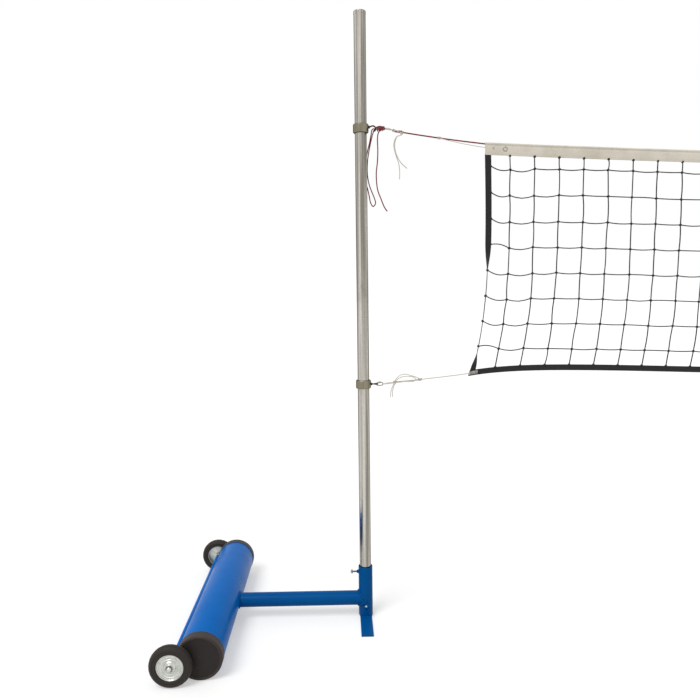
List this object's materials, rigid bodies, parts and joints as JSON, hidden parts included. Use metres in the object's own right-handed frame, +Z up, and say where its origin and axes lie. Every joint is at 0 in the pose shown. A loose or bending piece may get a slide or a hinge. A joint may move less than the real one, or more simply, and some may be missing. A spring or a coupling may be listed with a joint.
{
  "type": "volleyball net on poles",
  "caption": "Volleyball net with a vinyl headband, tied between tall galvanised poles that stand in blue wheeled ballast bases.",
  "frame": {"origin": "on the floor, at the centre of the span between the poles", "axes": "+X along the net from the left pole to the right pole, +Z up, -Y towards the front"},
  "size_m": [12.3702, 1.0342, 2.5171],
  "materials": {
    "galvanised": "bright galvanised tube",
    "blue_paint": "gloss royal blue enamel",
    "zinc": "bright zinc plate",
    "cap_rubber": "matte black rubber",
    "tyre": "dark grey rubber",
    "dark_steel": "dark oxide",
    "vinyl": "off-white coated vinyl",
    "black_tape": "black woven tape",
    "netting_cord": "black braided cord",
    "red_rope": "deep red braided rope",
    "white_rope": "off-white braided cord"
  },
  "bodies": {
    "bases": {"left_ballast_tube": "blue_paint", "left_axle_sleeve": "blue_paint", "left_axle": "zinc", "left_axle_nut": "zinc", "left_end_cap_front": "cap_rubber", "left_end_cap_back": "cap_rubber", "left_arm_tube": "blue_paint", "left_post_socket": "blue_paint", "left_foot_bar": "blue_paint", "left_stop_bolt": "zinc", "right_ballast_tube": "blue_paint", "right_axle_sleeve": "blue_paint", "right_axle": "zinc", "right_axle_nut": "zinc", "right_end_cap_front": "cap_rubber", "right_end_cap_back": "cap_rubber", "right_arm_tube": "blue_paint", "right_post_socket": "blue_paint", "right_foot_bar": "blue_paint", "right_stop_bolt": "zinc"},
    "left_pole": {"left_pole": "galvanised", "left_pole_cap": "galvanised"},
    "right_pole": {"right_pole": "galvanised", "right_pole_cap": "galvanised"},
    "net": {"left_upper_collar": "galvanised", "left_upper_hook": "dark_steel", "left_lower_collar": "galvanised", "left_lower_eye": "dark_steel", "left_quick_link": "zinc", "left_top_rope": "red_rope", "left_bottom_rope": "white_rope", "left_lashing": "red_rope", "left_tie": "white_rope", "left_bow": "white_rope", "right_upper_collar": "galvanised", "right_upper_hook": "dark_steel", "right_lower_collar": "galvanised", "right_lower_eye": "dark_steel", "right_quick_link": "zinc", "right_top_rope": "red_rope", "right_bottom_rope": "white_rope", "right_lashing": "red_rope", "right_tie": "white_rope", "right_bow": "white_rope", "headband": "vinyl", "bottom_tape": "black_tape", "netting": "netting_cord", "side_tape_left": "black_tape", "side_tape_right": "black_tape"},
    "left_front_wheel": {"left_tyre_front": "tyre", "left_rim_front": "zinc"},
    "left_back_wheel": {"left_tyre_back": "tyre", "left_rim_back": "zinc"},
    "left_clamp": {"left_clamp_screw": "zinc"},
    "right_front_wheel": {"right_tyre_front": "tyre", "right_rim_front": "zinc"},
    "right_back_wheel": {"right_tyre_back": "tyre", "right_rim_back": "zinc"},
    "right_clamp": {"right_clamp_screw": "zinc"}
  },
  "joints": [
    {"name": "left_pole_lift", "type": "slide", "parent": "bases", "child": "left_pole", "axis": [0, 0, 1], "range_m": [0, 0.2]},
    {"name": "right_pole_lift", "type": "slide", "parent": "bases", "child": "right_pole", "axis": [0, 0, 1], "range_m": [0, 0.2]},
    {"name": "net_height", "type": "slide", "parent": "left_pole", "child": "net", "axis": [0, 0, 1], "range_m": [-0.7, 0.4]},
    {"name": "left_front_wheel_spin", "type": "hinge", "parent": "bases", "child": "left_front_wheel", "pos_m": [-6.1061, -0.4868, 0.0792], "axis": [0, 1, 0], "continuous": true},
    {"name": "left_back_wheel_spin", "type": "hinge", "parent": "bases", "child": "left_back_wheel", "pos_m": [-6.1061, 0.4868, 0.0792], "axis": [0, 1, 0], "continuous": true},
    {"name": "left_clamp_turn", "type": "hinge", "parent": "bases", "child": "left_clamp", "pos_m": [-5.426, 0, 0.2], "axis": [-1, 0, 0], "range_deg": [0, 720]},
    {"name": "right_front_wheel_spin", "type": "hinge", "parent": "bases", "child": "right_front_wheel", "pos_m": [6.1061, 0.4868, 0.0792], "axis": [0, 1, 0], "continuous": true},
    {"name": "right_back_wheel_spin", "type": "hinge", "parent": "bases", "child": "right_back_wheel", "pos_m": [6.1061, -0.4868, 0.0792], "axis": [0, 1, 0], "continuous": true},
    {"name": "right_clamp_turn", "type": "hinge", "parent": "bases", "child": "right_clamp", "pos_m": [5.426, 0, 0.2], "axis": [1, 0, 0], "range_deg": [0, 720]}
  ],
  "couplings": [
    {"joint": "right_pole_lift", "follows": "left_pole_lift", "ratio": 1}
  ]
}
